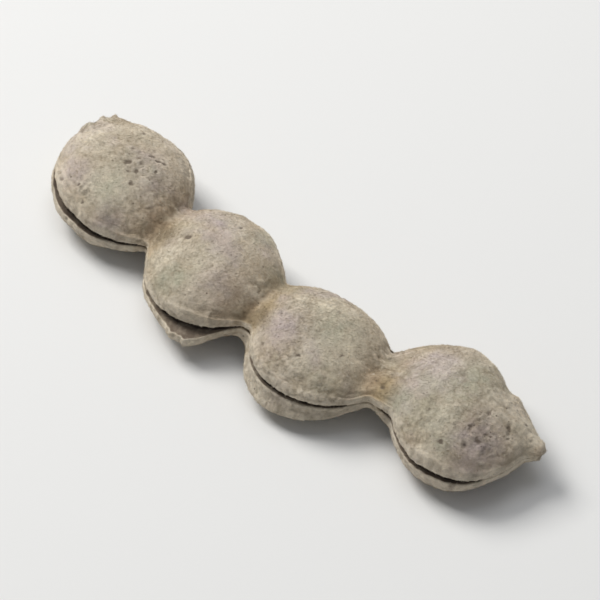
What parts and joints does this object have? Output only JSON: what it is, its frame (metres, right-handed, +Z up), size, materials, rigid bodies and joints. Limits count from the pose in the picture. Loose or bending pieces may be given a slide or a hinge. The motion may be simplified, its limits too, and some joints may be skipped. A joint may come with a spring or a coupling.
{
  "type": "acacia pod",
  "caption": "Dried acacia pod: flattened seed beads strung on narrow necks, snapped off at one end and beaked at the other, with one seam sprung open as a slit.",
  "frame": {"origin": "centre of the bounding box's bottom: the surface that the pod lies on, under its middle", "axes": "+X along the pod from the snapped end to the beak, +Y across it from the open slit seam to the closed seam, +Z up through its flat thickness"},
  "size_m": [0.0582, 0.0164, 0.0066],
  "materials": {
    "felted_shell": "matt felted dry husk, beige with grey mottling and dark specks, tan at the necks"
  },
  "bodies": {
    "root": {"pod": "felted_shell"}
  },
  "joints": []
}
